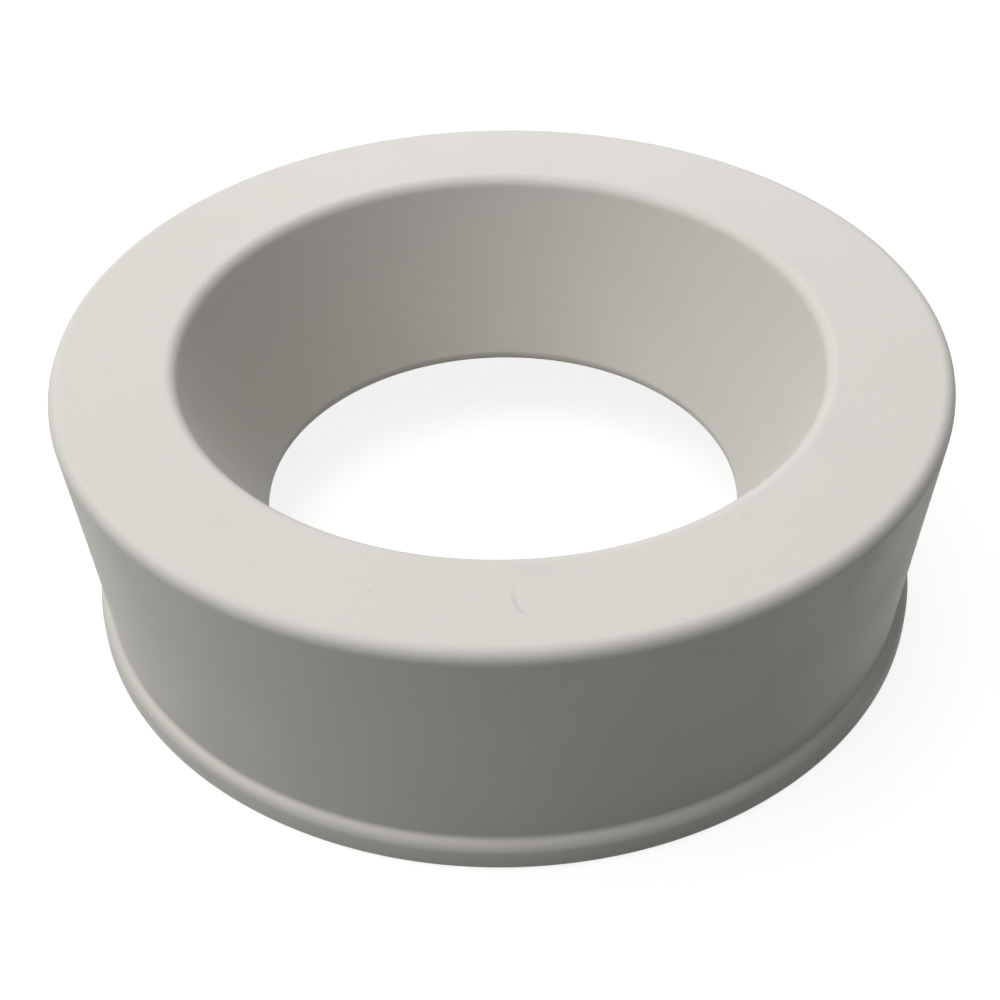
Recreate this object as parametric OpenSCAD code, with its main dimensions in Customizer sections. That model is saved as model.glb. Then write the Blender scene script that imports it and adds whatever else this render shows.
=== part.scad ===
// Rubber drain cuff: one moulded ring that closes the gap between a wide drain socket and a narrower waste pipe.
// A flat top flange carries an outer sleeve, which ends in a sealing bead, and an inner cone, which ends in a thin lip.
// The space between the sleeve and the cone is open at the bottom.
// Millimetres. The axis is Z, and the foot of the sleeve stands on the plane Z = 0.

/* [Flange] */

// Diameter over the top flange
flange_d = 118; // [114:1:126]

// Thickness of the flat top flange
flange_t = 4.4; // [4.3:0.1:5.5]

// Round on the flange's outer edge
rim_r = 1.7; // [1:0.1:2.1]

// Diameter of the mouth at the top
mouth_d = 84.5; // [80:0.5:88]

// Round on the edge of the mouth
mouth_r = 2; // [1:0.1:2.1]

/* [Sleeve] */

// Height over all
height = 38; // [34:0.5:46]

// Outside diameter of the sleeve's wall where its line meets the foot plane
sleeve_d = 110.8; // [109:0.2:111.4]

// Wall of the sleeve
sleeve_t = 3; // [2.4:0.1:3.4]

// Round on the inner edge of the foot
foot_r = 0.8; // [0.4:0.1:1]

/* [Bead] */

// Diameter over the sealing bead
bead_d = 114.4; // [113.6:0.2:115.2]

// Height of the bead above the foot
bead_h = 4.2; // [3.6:0.1:5]

// Round on the bead's upper edge
bead_top_r = 1.4; // [1.1:0.1:1.6]

// Round on the bead's lower edge
bead_low_r = 0.9; // [0.5:0.1:1.3]

// Hollow round between the bead and the wall above it
blend_r = 0.6; // [0.4:0.1:1.2]

/* [Lip] */

// Diameter of the opening that grips the pipe
lip_d = 65.5; // [62:0.5:70]

// Depth of the lip's lower edge below the top face
lip_drop = 26; // [22:0.5:30]

// Wall of the cone where it meets the flange
cone_t = 2.4; // [2:0.1:2.8]

// Thickness of the lip at its rounded edge
lip_t = 1.4; // [1:0.1:1.8]

// Straight length of the opening above the lip's rounded edge
lip_land = 0.6; // [0.4:0.1:2]

// Hollow round where the sleeve and the cone meet the flange
root_r = 1.5; // [0.8:0.1:2]

/* [Hidden] */

rubber = [0.80, 0.79, 0.76];
arc_fn = 48;
ring_fn = 180;

// how far shapes that touch run into each other, so that they join
bite = 0.003;

// how far a blend reaches into the wall behind it
reach = 0.5;

// height of the flange's underside
under_z = height - flange_t;

// centre of the rim round, and the lean of the sleeve's wall, which touches that round
rim_x = flange_d / 2 - rim_r;
rim_z = height - rim_r;
rim_dx = rim_x - sleeve_d / 2;
lean = atan2(rim_dx, rim_z) + asin(rim_r / norm([rim_dx, rim_z]));

// centre of the mouth round and top of the lip's straight length, and the lean of the cone between them
mouth_x = mouth_d / 2 + mouth_r;
mouth_z = height - mouth_r;
tip_r = lip_t / 2;
tip_x = lip_d / 2 + tip_r;
tip_z = height - lip_drop + tip_r;
land_x = lip_d / 2;
land_z = tip_z + lip_land;
cone_dx = mouth_x - land_x;
cone_dz = mouth_z - land_z;
cone_lean = atan2(cone_dx, cone_dz) - asin(mouth_r / norm([cone_dx, cone_dz]));

// radius of the sleeve's wall at a height and a depth below its outer face
function wall_x(z, depth) = sleeve_d / 2 + (z * sin(lean) - depth) / cos(lean);

// radius of the cone at a height and a depth behind its pipe side
function cone_x(z, depth) = land_x + ((z - land_z) * sin(cone_lean) + depth) / cos(cone_lean);

// centre of the bead's upper round, and centre of the hollow round that touches both it and the wall
bead_x = bead_d / 2 - bead_top_r;
bead_z = bead_h - bead_top_r;
bead_in = (wall_x(bead_z, 0) - bead_x) * cos(lean);
bead_gap = bead_in + blend_r;
bead_up = sqrt(pow(bead_top_r + blend_r, 2) - pow(bead_gap, 2));
blend_x = bead_x + bead_gap * cos(lean) + bead_up * sin(lean);
blend_z = bead_z - bead_gap * sin(lean) + bead_up * cos(lean);

// centre of the bead's lower round, and of the round on the foot's inner edge
low_x = bead_d / 2 - bead_low_r;
foot_x = wall_x(foot_r, sleeve_t - foot_r);

// where the back of the cone meets the flange, and its lean, which lets it touch the round at the lip's edge
back_x = cone_x(under_z, cone_t);
back_dx = back_x - tip_x;
back_dz = under_z - tip_z;
back_lean = atan2(back_dx, back_dz) - asin(tip_r / norm([back_dx, back_dz]));

// centres of the hollow rounds under the flange
root_z = under_z - root_r;
root_wall_x = wall_x(root_z, sleeve_t + root_r);
root_cone_x = back_x - root_r * tan(back_lean) + root_r / cos(back_lean);

module flange_section() {
    translate([mouth_x, under_z])
        square([rim_x - mouth_x, flange_t]);
    translate([rim_x, rim_z])
        circle(rim_r, $fn = arc_fn);
    translate([mouth_x, mouth_z])
        circle(mouth_r, $fn = arc_fn);
}

module sleeve_section() {
    polygon([
        [rim_x, rim_z],
        [wall_x(rim_z, sleeve_t), rim_z],
        [foot_x - (foot_r - bite) * cos(lean), foot_r + (foot_r - bite) * sin(lean)],
        [foot_x, foot_r],
        [foot_x, 0],
        [low_x, 0],
        [low_x, bead_low_r],
        [wall_x(bead_low_r, 0), bead_low_r],
        [rim_x + (rim_r - bite) * cos(lean), rim_z - (rim_r - bite) * sin(lean)]
    ]);
    translate([foot_x, foot_r])
        circle(foot_r, $fn = arc_fn);
}

module bead_section() {
    translate([low_x, bead_low_r])
        circle(bead_low_r, $fn = arc_fn);
    translate([bead_x, bead_z])
        circle(bead_top_r, $fn = arc_fn);
    polygon([
        [foot_x, bead_low_r],
        [bead_d / 2, bead_low_r],
        [bead_d / 2, bead_z],
        [foot_x, bead_z]
    ]);
    difference() {
        polygon([
            [bead_x, bead_z],
            [blend_x, blend_z],
            [blend_x - (blend_r + reach) * cos(lean), blend_z + (blend_r + reach) * sin(lean)],
            [bead_x - reach, bead_z]
        ]);
        translate([blend_x - bite, blend_z - bite])
            circle(blend_r, $fn = arc_fn);
    }
}

module lip_section() {
    polygon([
        [mouth_x, mouth_z],
        [mouth_x - (mouth_r - bite) * cos(cone_lean), mouth_z + (mouth_r - bite) * sin(cone_lean)],
        [land_x, land_z],
        [land_x, tip_z],
        [tip_x, tip_z],
        [tip_x + (tip_r - bite) * cos(back_lean), tip_z - (tip_r - bite) * sin(back_lean)],
        [back_x, under_z],
        [back_x, mouth_z]
    ]);
    translate([tip_x, tip_z])
        circle(tip_r, $fn = arc_fn);
}

module root_section() {
    difference() {
        polygon([
            [wall_x(under_z, sleeve_t - reach), under_z + reach],
            [root_wall_x, under_z + reach],
            [root_wall_x, root_z],
            [root_wall_x + (root_r + reach) * cos(lean), root_z - (root_r + reach) * sin(lean)]
        ]);
        translate([root_wall_x + bite, root_z + bite])
            circle(root_r, $fn = arc_fn);
    }
    difference() {
        polygon([
            [back_x - reach, under_z + reach],
            [root_cone_x - (root_r + reach) * cos(back_lean), root_z + (root_r + reach) * sin(back_lean)],
            [root_cone_x, root_z],
            [root_cone_x, under_z + reach]
        ]);
        translate([root_cone_x - bite, root_z + bite])
            circle(root_r, $fn = arc_fn);
    }
}

module cuff() {
    color(rubber)
        rotate_extrude($fn = ring_fn)
            union() {
                flange_section();
                sleeve_section();
                bead_section();
                lip_section();
                root_section();
            }
}

cuff();
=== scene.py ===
"""A rubber drain cuff standing on a pale floor: one moulded ring with a sealing bead and a gripping lip."""

import bpy
import numpy as np
from mathutils import Matrix


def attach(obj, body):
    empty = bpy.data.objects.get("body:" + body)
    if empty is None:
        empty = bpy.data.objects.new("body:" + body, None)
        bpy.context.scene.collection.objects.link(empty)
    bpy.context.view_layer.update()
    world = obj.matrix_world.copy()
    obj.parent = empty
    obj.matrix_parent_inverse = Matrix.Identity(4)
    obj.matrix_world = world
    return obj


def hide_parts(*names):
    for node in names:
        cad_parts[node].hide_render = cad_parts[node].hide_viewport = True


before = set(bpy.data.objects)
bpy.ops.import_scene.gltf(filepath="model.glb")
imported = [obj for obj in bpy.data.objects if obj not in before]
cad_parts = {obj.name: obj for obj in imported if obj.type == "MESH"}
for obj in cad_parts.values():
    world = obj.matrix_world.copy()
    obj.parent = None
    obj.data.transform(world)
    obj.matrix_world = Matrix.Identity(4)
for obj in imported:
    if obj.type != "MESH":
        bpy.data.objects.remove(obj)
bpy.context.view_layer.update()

# The ring: pale warm-grey rubber, moulded in one piece and turned about Z. A flat flange carries a tapered outer
# sleeve, which ends in a sealing bead, and an inner cone, which ends in a thin lip. It stands on the sleeve's foot.
HEIGHT = 0.0380
FLANGE_R, FLANGE_T, RIM_R = 0.0590, 0.0044, 0.0017  # the flange's radius, its thickness and the round of its rim
MOUTH_R, MOUTH_EDGE = 0.04225, 0.0020  # the mouth's radius and the round of its edge
SLEEVE_R, SLEEVE_T, FOOT_EDGE = 0.0554, 0.0030, 0.0008  # the sleeve's radius at the foot, its wall, the foot's round
BEAD_OUT, BEAD_H = 0.0572, 0.0042  # the bead's radius and height
BEAD_TOP, BEAD_LOW, BLEND_R = 0.0014, 0.0009, 0.0006  # the bead's rounds above and below, and the hollow over it
LIP_R, LIP_DROP, LIP_T, LIP_LAND = 0.03275, 0.0260, 0.0014, 0.0006  # the opening, its depth, the lip's edge and land
CONE_T, ROOT_R = 0.0024, 0.0015  # the cone's wall at the flange, and the rounds where both walls meet the flange
TURN_STEPS, WAVE = 480, 0.0001  # points round the ring, and how far its walls are drawn in as it sets


def arc(centre, radius, start, end, count):
    """Points on a circle: centre + radius * (cos a, sin a), with a going from start to end in degrees."""
    a = np.radians(np.linspace(start, end, count))
    return np.stack([centre[0] + radius * np.cos(a), centre[1] + radius * np.sin(a)], 1)


def straight(start, end, count):
    """Points between two given ones, both left out: start + (end - start) * t, with t crowded towards the ends."""
    t = 0.5 - 0.5 * np.cos(np.pi * np.linspace(0, 1, count + 2)[1:-1])
    return np.asarray(start) + np.outer(t, np.subtract(end, start))


def ring_section():
    """The ring's section as a closed loop of (radius, height), from the top face outwards and round underneath.
    A wall's lean is the angle of the line that starts at a given point and touches the round at its other end."""
    rim = np.array([FLANGE_R - RIM_R, HEIGHT - RIM_R])
    mouth = np.array([MOUTH_R + MOUTH_EDGE, HEIGHT - MOUTH_EDGE])
    tip = np.array([LIP_R + LIP_T / 2, HEIGHT - LIP_DROP + LIP_T / 2])
    land = np.array([LIP_R, tip[1] + LIP_LAND])
    under = HEIGHT - FLANGE_T

    def leaning(start, centre, reach):
        d = np.subtract(centre, start)
        return np.arctan2(*d) + np.arcsin(reach / np.hypot(*d))

    lean = leaning([SLEEVE_R, 0], rim, RIM_R)
    cone = leaning(land, mouth, -MOUTH_EDGE)

    def sleeve(z, depth):
        return np.array([SLEEVE_R + (z * np.sin(lean) - depth) / np.cos(lean), z])

    bead = np.array([BEAD_OUT - BEAD_TOP, BEAD_H - BEAD_TOP])
    low = np.array([BEAD_OUT - BEAD_LOW, BEAD_LOW])
    across = (sleeve(bead[1], 0)[0] - bead[0]) * np.cos(lean) + BLEND_R
    along = np.sqrt((BEAD_TOP + BLEND_R) ** 2 - across**2)
    outwards, upwards = np.array([np.cos(lean), -np.sin(lean)]), np.array([np.sin(lean), np.cos(lean)])
    blend = bead + across * outwards + along * upwards
    toward = np.degrees(np.arctan2(*(blend - bead)[::-1]))
    foot = sleeve(FOOT_EDGE, SLEEVE_T - FOOT_EDGE)
    root_out = sleeve(under - ROOT_R, SLEEVE_T + ROOT_R)
    back = np.array([LIP_R + ((under - land[1]) * np.sin(cone) + CONE_T) / np.cos(cone), under])
    back_lean = leaning(tip, back, -LIP_T / 2)
    root_in = np.array([back[0] - ROOT_R * np.tan(back_lean) + ROOT_R / np.cos(back_lean), under - ROOT_R])
    lean_deg, cone_deg, back_deg = np.degrees([lean, cone, back_lean])
    rim_arc = arc(rim, RIM_R, 90, -lean_deg, 12)
    blend_arc = arc(blend, BLEND_R, 180 - lean_deg, 180 + toward, 7)
    bead_arc = arc(bead, BEAD_TOP, toward, 0, 11)
    low_arc = arc(low, BEAD_LOW, 0, -90, 8)
    foot_arc = arc(foot, FOOT_EDGE, -90, -180 - lean_deg, 6)
    out_arc = arc(root_out, ROOT_R, -lean_deg, 90, 7)
    in_arc = arc(root_in, ROOT_R, 90, 180 - back_deg, 7)
    tip_arc = arc(tip, LIP_T / 2, -back_deg, -180, 11)
    mouth_arc = arc(mouth, MOUTH_EDGE, 180 - cone_deg, 90, 11)
    return np.concatenate([
        straight(mouth_arc[-1], rim_arc[0], 12), rim_arc, straight(rim_arc[-1], blend_arc[0], 18), blend_arc,
        bead_arc[1:], straight(bead_arc[-1], low_arc[0], 1), low_arc,
        straight(low_arc[-1], foot_arc[0], 2), foot_arc, straight(foot_arc[-1], out_arc[0], 10), out_arc,
        straight(out_arc[-1], in_arc[0], 6), in_arc, straight(in_arc[-1], tip_arc[0], 8), tip_arc,
        [land], straight(land, mouth_arc[0], 16), mouth_arc,
    ])


def turned_ring(section, steps, wave):
    """Each section point (r, z) goes round the axis: (r cos v, r sin v, z), with v over a full turn. The outer walls
    are drawn in by wave times 0.5 less half the mean of three slow sines of v and z, as a soft moulding sets."""
    v = np.linspace(0, 2 * np.pi, steps, endpoint=False)[None, :]
    r, z = section[:, :1], section[:, 1:]
    slow = np.sin(3 * v + 0.7) + np.sin(5 * v + 90 * z + 2.1) + np.sin(8 * v - 140 * z + 4.0)
    side = np.sin(np.pi * np.clip(z / HEIGHT, 0, 1)) * (r > 0.5 * (MOUTH_R + FLANGE_R))
    reach = r - wave * side * (0.5 - slow / 6)
    return np.stack([reach * np.cos(v), reach * np.sin(v), z + 0 * v], 2)


def grid_mesh(name, points):
    """A closed grid of points (rows round the section, columns round the axis) as quads that join both ways."""
    rows, cols = points.shape[:2]
    i, j = np.meshgrid(np.arange(rows), np.arange(cols), indexing="ij")
    down, right = (i + 1) % rows, (j + 1) % cols
    quads = np.stack([i * cols + j, down * cols + j, down * cols + right, i * cols + right], -1).reshape(-1, 4)
    mesh = bpy.data.meshes.new(name)
    mesh.vertices.add(rows * cols)
    mesh.vertices.foreach_set("co", points.reshape(-1).astype(np.float32))
    mesh.loops.add(quads.size)
    mesh.loops.foreach_set("vertex_index", quads.reshape(-1).astype(np.int32))
    mesh.polygons.add(len(quads))
    mesh.polygons.foreach_set("loop_start", np.arange(0, quads.size, 4, dtype=np.int32))
    mesh.polygons.foreach_set("use_smooth", np.ones(len(quads), dtype=bool))
    mesh.update(calc_edges=True)
    return mesh


def node(tree, kind, values=None, **settings):
    """One shader node, with its input values by name and its settings."""
    n = tree.nodes.new(kind)
    for key, value in settings.items():
        setattr(n, key, value)
    for key, value in (values or {}).items():
        n.inputs[key].default_value = value
    return n


def maths(tree, operation, first, second=0.0, clamp=False):
    """The value of a Math node, whose two inputs are sockets or numbers."""
    n = node(tree, "ShaderNodeMath", operation=operation, use_clamp=clamp)
    for socket, value in zip(n.inputs, (first, second)):
        if isinstance(value, (int, float)):
            socket.default_value = value
        else:
            tree.links.new(value, socket)
    return n.outputs[0]


# The rubber's skin, a node group: a fine matt grain from the mould, a slow unevenness of shade and gloss, and a
# sparse speckle of dust. It puts out a shade to multiply the colour by, a roughness and a height in metres.
skin = bpy.data.node_groups.new("moulded_rubber_skin", "ShaderNodeTree")
skin.interface.new_socket("Position", in_out="INPUT", socket_type="NodeSocketVector")
for label, default in (("Shade depth", 0.03), ("Roughness", 0.5)):
    skin.interface.new_socket(label, in_out="INPUT", socket_type="NodeSocketFloat").default_value = default
for label in ("Shade", "Roughness", "Height"):
    skin.interface.new_socket(label, in_out="OUTPUT", socket_type="NodeSocketFloat")
given, result = node(skin, "NodeGroupInput"), node(skin, "NodeGroupOutput")


def noise(tree, position, scale, detail, rough=0.5):
    """Noise of the given scale per metre, about 0.5 on average."""
    n = node(tree, "ShaderNodeTexNoise", {"Scale": scale, "Detail": detail, "Roughness": rough})
    tree.links.new(position, n.inputs["Vector"])
    return n.outputs["Fac"]


blotch = noise(skin, given.outputs["Position"], 95, 3)
cloud = noise(skin, given.outputs["Position"], 28, 2)
grain = noise(skin, given.outputs["Position"], 2600, 3, 0.6)
speck = noise(skin, given.outputs["Position"], 900, 2)

# shade: 1, plus twice the shade depth times how far the uneven noise is from its middle, less the dust's specks
uneven = maths(skin, "ADD", maths(skin, "MULTIPLY", blotch, 0.45), maths(skin, "MULTIPLY", cloud, 0.55))
depth = maths(skin, "MULTIPLY", maths(skin, "SUBTRACT", uneven, 0.5), given.outputs["Shade depth"])
dust = maths(skin, "MULTIPLY", maths(skin, "SUBTRACT", speck, 0.70, True), 1.2)
clean = maths(skin, "ADD", maths(skin, "MULTIPLY", depth, 2.0), 1.0)
skin.links.new(maths(skin, "SUBTRACT", clean, dust), result.inputs["Shade"])

# roughness: the given one, plus a share of how far the blotches and the grain are from their middle
rubbed = maths(skin, "MULTIPLY", maths(skin, "SUBTRACT", blotch, 0.5), 0.22)
matted = maths(skin, "MULTIPLY", maths(skin, "SUBTRACT", grain, 0.5), 0.10)
gloss = maths(skin, "ADD", rubbed, matted)
skin.links.new(maths(skin, "ADD", gloss, given.outputs["Roughness"]), result.inputs["Roughness"])

# height: the grain 0.022 mm deep and the blotches 0.06 mm
relief = maths(skin, "ADD", maths(skin, "MULTIPLY", grain, 0.000022), maths(skin, "MULTIPLY", blotch, 0.00006))
skin.links.new(relief, result.inputs["Height"])

# The rubber itself: pale grey with a little yellow, matt, with three faint smudges from handling on the top face
# and the curved print of an ejector pin near the front of it.
RUBBER_COLOUR = (0.695, 0.672, 0.628, 1)
rubber = bpy.data.materials.new("pale_grey_rubber")
rubber.use_nodes = True
tree = rubber.node_tree
shader = tree.nodes["Principled BSDF"]
shader.inputs["IOR"].default_value = 1.48
shader.inputs["Specular IOR Level"].default_value = 0.42
place = node(tree, "ShaderNodeTexCoord").outputs["Object"]
surface = node(tree, "ShaderNodeGroup")
surface.node_tree = skin
surface.inputs["Shade depth"].default_value = 0.035
surface.inputs["Roughness"].default_value = 0.52
tree.links.new(place, surface.inputs["Position"])


def spot(x, y, reach, stretch=(1, 1, 1)):
    """A soft round spot on the top face: 1 at (x, y), falling by a smooth step of the distance to 0 at the given reach.
    stretch multiplies the distance along each axis. The distance itself comes back too."""
    middle = tuple(-at * by for at, by in zip((x, y, HEIGHT), stretch))
    mapping = node(tree, "ShaderNodeMapping", {"Location": middle, "Scale": stretch})
    tree.links.new(place, mapping.inputs["Vector"])
    length = node(tree, "ShaderNodeVectorMath", operation="LENGTH")
    tree.links.new(mapping.outputs["Vector"], length.inputs[0])
    return fade(length.outputs["Value"], reach), length.outputs["Value"]


def fade(distance, reach):
    """1 where the distance is 0, falling by a smooth step to 0 at the given reach."""
    limits = {"From Min": 0.0, "From Max": reach, "To Min": 1.0, "To Max": 0.0}
    ramp = node(tree, "ShaderNodeMapRange", limits, interpolation_type="SMOOTHSTEP")
    tree.links.new(distance, ramp.inputs["Value"])
    return ramp.outputs[0]


smudge = maths(tree, "MULTIPLY", spot(0.0041, -0.0452, 0.0042, (0.7, 1.4, 1))[0], 0.030)
for x, y, reach, darker in ((0.0420, -0.0216, 0.0060, 0.020), (-0.0336, -0.0364, 0.0030, 0.022)):
    smudge = maths(tree, "ADD", smudge, maths(tree, "MULTIPLY", spot(x, y, reach)[0], darker))

# the pin's print is a shallow step, 0.12 mm deep, round part of a circle of 3.8 mm radius
PIN_X, PIN_Y, PIN_R, PIN_LINE, PIN_DEPTH = 0.0050, -0.0496, 0.0038, 0.0006, 0.00012
_, from_pin = spot(PIN_X, PIN_Y, PIN_R)
line = fade(maths(tree, "ABSOLUTE", maths(tree, "SUBTRACT", from_pin, PIN_R)), PIN_LINE)
one_side, _ = spot(0.0022, -0.0515, 0.0042)
print_line = maths(tree, "MULTIPLY", line, one_side)
smudge = maths(tree, "ADD", smudge, maths(tree, "MULTIPLY", print_line, 0.035))

tone = maths(tree, "SUBTRACT", surface.outputs["Shade"], smudge)
shade = node(tree, "ShaderNodeMix", {"Factor": 1.0}, data_type="RGBA", blend_type="MULTIPLY")
shade.inputs["A"].default_value = RUBBER_COLOUR
tree.links.new(tone, shade.inputs["B"])
tree.links.new(shade.outputs["Result"], shader.inputs["Base Color"])
tree.links.new(surface.outputs["Roughness"], shader.inputs["Roughness"])
bump = node(tree, "ShaderNodeBump", {"Strength": 1.0, "Distance": 1.0})
sunk = maths(tree, "MULTIPLY", print_line, PIN_DEPTH)
tree.links.new(maths(tree, "SUBTRACT", surface.outputs["Height"], sunk), bump.inputs["Height"])
tree.links.new(bump.outputs["Normal"], shader.inputs["Normal"])

ring_mesh = grid_mesh("ring", turned_ring(ring_section(), TURN_STEPS, WAVE))
ring_mesh.materials.append(rubber)
ring = bpy.data.objects.new("ring", ring_mesh)
bpy.context.scene.collection.objects.link(ring)
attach(ring, "root")
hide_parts("cuff")

# The floor: a pale sheet that the ring stands on. The camera sees it white, apart from the ring's soft shadow.
FLOOR, FLOOR_Z = 0.8, -0.0001
corners = [(FLOOR * x, FLOOR * y, FLOOR_Z) for x, y in ((-1, -1), (1, -1), (1, 1), (-1, 1))]
floor_mesh = bpy.data.meshes.new("floor")
floor_mesh.from_pydata(corners, [], [(0, 1, 2, 3)])
floor = bpy.data.objects.new("floor", floor_mesh)
bpy.context.scene.collection.objects.link(floor)
sheet = bpy.data.materials.new("pale_floor")
sheet.use_nodes = True
tree = sheet.node_tree
tree.nodes.remove(tree.nodes["Principled BSDF"])


def seen_directly(tree):
    """1 where the camera, a gloss or a clear material sees the surface, and 0 where it only lights something."""
    ray = node(tree, "ShaderNodeLightPath")
    gloss_or_clear = maths(tree, "MAXIMUM", ray.outputs["Is Glossy Ray"], ray.outputs["Is Transmission Ray"])
    return maths(tree, "MAXIMUM", ray.outputs["Is Camera Ray"], gloss_or_clear)


matt = node(tree, "ShaderNodeBsdfDiffuse", {"Color": (0.275, 0.285, 0.26, 1)})
glow = node(tree, "ShaderNodeEmission", {"Color": (1, 1, 1, 1), "Strength": 0.86})
both = node(tree, "ShaderNodeAddShader")
tree.links.new(matt.outputs[0], both.inputs[0])
tree.links.new(glow.outputs[0], both.inputs[1])
choose = node(tree, "ShaderNodeMixShader")
tree.links.new(seen_directly(tree), choose.inputs[0])
tree.links.new(matt.outputs[0], choose.inputs[1])
tree.links.new(both.outputs[0], choose.inputs[2])
tree.links.new(choose.outputs[0], tree.nodes["Material Output"].inputs["Surface"])
floor_mesh.materials.append(sheet)

# The light: a white world that lights the ring hardly at all, one broad soft box overhead, a little to the left,
# and two small ones lower down, behind and to the left.
world = bpy.data.worlds.new("studio")
bpy.context.scene.world = world
world.use_nodes = True
tree = world.node_tree
sky = tree.nodes["Background"]
sky.inputs["Color"].default_value = (1, 1, 1, 1)
white_to_see = maths(tree, "MULTIPLY", seen_directly(tree), 0.98)
tree.links.new(maths(tree, "ADD", white_to_see, 0.02), sky.inputs["Strength"])


def soft_box(name, azimuth, elevation, distance, size, level):
    """A square lamp aimed at the ring from azimuth (0 is +X, turning towards +Y) and elevation. A surface that faces
    it is lit about as a white world of strength level lights it: power = level * pi^2 * distance^2."""
    a, e = np.radians([azimuth, elevation])
    at = distance * np.array([np.cos(e) * np.cos(a), np.cos(e) * np.sin(a), np.sin(e)])
    lamp = bpy.data.lights.new(name, "AREA")
    lamp.shape = "SQUARE"
    lamp.size = size
    lamp.energy = level * np.pi**2 * distance**2
    lamp.color = (1, 1, 1)
    back = at / distance
    side = np.cross([0, 0, 1], back)
    side = side / np.linalg.norm(side) if np.linalg.norm(side) > 1e-6 else np.array([1.0, 0, 0])
    up = np.cross(back, side)
    turn = np.eye(4)
    turn[:3, :4] = np.stack([side, up, back, at], 1)
    lamp_object = bpy.data.objects.new(name, lamp)
    lamp_object.matrix_world = Matrix(turn.tolist())
    bpy.context.scene.collection.objects.link(lamp_object)


soft_box("overhead", azimuth=180, elevation=70, distance=1.6, size=2.0, level=1.20)
soft_box("behind", azimuth=90, elevation=30, distance=1.6, size=0.8, level=0.19)
soft_box("left", azimuth=180, elevation=40, distance=1.6, size=0.8, level=0.08)

# The camera: above the ring and in front of it, near enough for a wide ellipse, tilted a little.
eye = np.array([0.0, -0.19915, 0.17528])
aim = np.array([-0.00044, 0.0, 0.01085])
roll = np.radians(-0.94)
back = (eye - aim) / np.linalg.norm(eye - aim)
side = np.cross([0, 0, 1], back)
side /= np.linalg.norm(side)
up = np.cross(back, side)
side, up = side * np.cos(roll) + up * np.sin(roll), up * np.cos(roll) - side * np.sin(roll)
turn = np.eye(4)
turn[:3, :4] = np.stack([side, up, back, eye], 1)
lens = bpy.data.cameras.new("camera")
lens.lens = 65.86
lens.sensor_width = 36
lens.clip_start = 0.01
camera = bpy.data.objects.new("camera", lens)
camera.matrix_world = Matrix(turn.tolist())
bpy.context.scene.collection.objects.link(camera)
bpy.context.scene.camera = camera
bpy.context.scene.view_settings.view_transform = "Standard"
